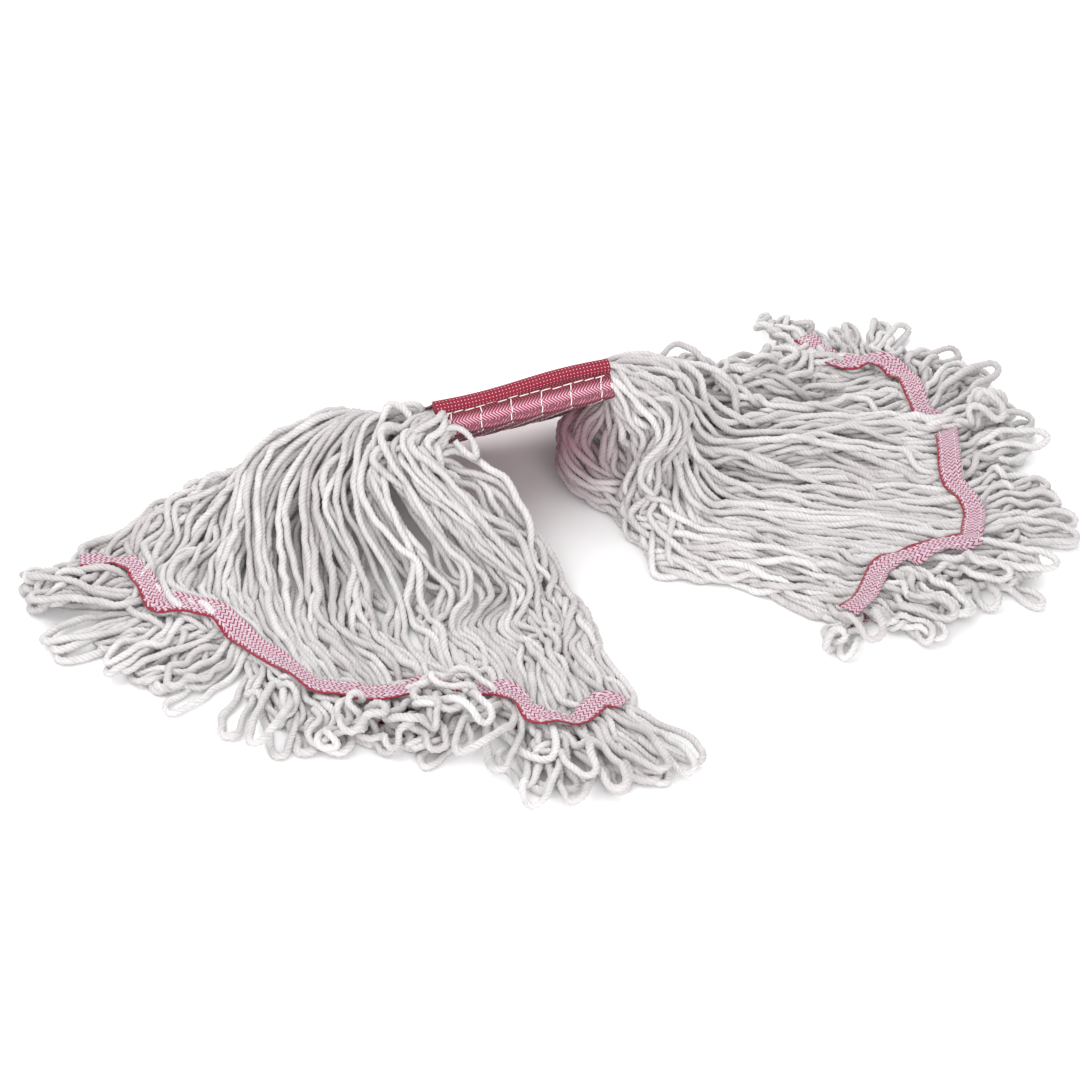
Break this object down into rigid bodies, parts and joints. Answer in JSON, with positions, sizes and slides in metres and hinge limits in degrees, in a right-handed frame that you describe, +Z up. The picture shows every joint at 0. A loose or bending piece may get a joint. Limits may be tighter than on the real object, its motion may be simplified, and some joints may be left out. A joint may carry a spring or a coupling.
{
  "type": "string mop head",
  "caption": "Looped-end wet mop head: twisted cotton yarn sewn through a red woven headband, laid down with both tails fanned out and tied near the loops by a narrow tape.",
  "frame": {"origin": "on the floor, under the middle of the whole head as it lies", "axes": "+X to the right fan, +Y from the front of the headband to its back, +Z up"},
  "size_m": [0.7388, 0.5688, 0.1188],
  "materials": {
    "yarn": "off-white twisted cotton yarn, matt",
    "red_web": "red and white herringbone webbing, matt",
    "red_roll": "coarse bright red weave with pale specks, matt",
    "tail_tape": "white and pink woven tape with a dark red scalloped edge",
    "thread": "white polyester sewing thread, slight sheen"
  },
  "bodies": {
    "headband": {"headband_upper_web": "red_web", "headband_lower_web": "red_web", "front_edge_roll": "red_roll", "rear_edge_roll": "red_roll", "cross_stitching": "thread", "edge_stitching": "thread", "core_yarn_layer_1": "yarn", "core_yarn_layer_2": "yarn", "core_yarn_layer_3": "yarn", "core_yarn_layer_4": "yarn", "core_yarn_layer_5": "yarn"},
    "left_fan": {"left_lock_1": "yarn", "left_lock_2": "yarn", "left_lock_3": "yarn", "left_lock_4": "yarn", "left_lock_5": "yarn", "left_lock_6": "yarn", "left_lock_7": "yarn", "left_lock_8": "yarn", "left_tail_tape_upper": "tail_tape", "left_tail_tape_lower": "tail_tape", "left_tail_stitching": "thread"},
    "right_fan": {"right_lock_1": "yarn", "right_lock_2": "yarn", "right_lock_3": "yarn", "right_lock_4": "yarn", "right_lock_5": "yarn", "right_lock_6": "yarn", "right_lock_7": "yarn", "right_lock_8": "yarn", "right_tail_tape_upper": "tail_tape", "right_tail_tape_lower": "tail_tape", "right_tail_stitching": "thread"}
  },
  "joints": [
    {"name": "left_fan_sweep", "type": "hinge", "parent": "headband", "child": "left_fan", "pos_m": [-0.0923, 0.0669, 0.054], "axis": [0, 0, 1], "range_deg": [-10, 10]},
    {"name": "right_fan_sweep", "type": "hinge", "parent": "headband", "child": "right_fan", "pos_m": [0.0303, 0.1091, 0.063], "axis": [0, 0, 1], "range_deg": [-10, 10]}
  ]
}
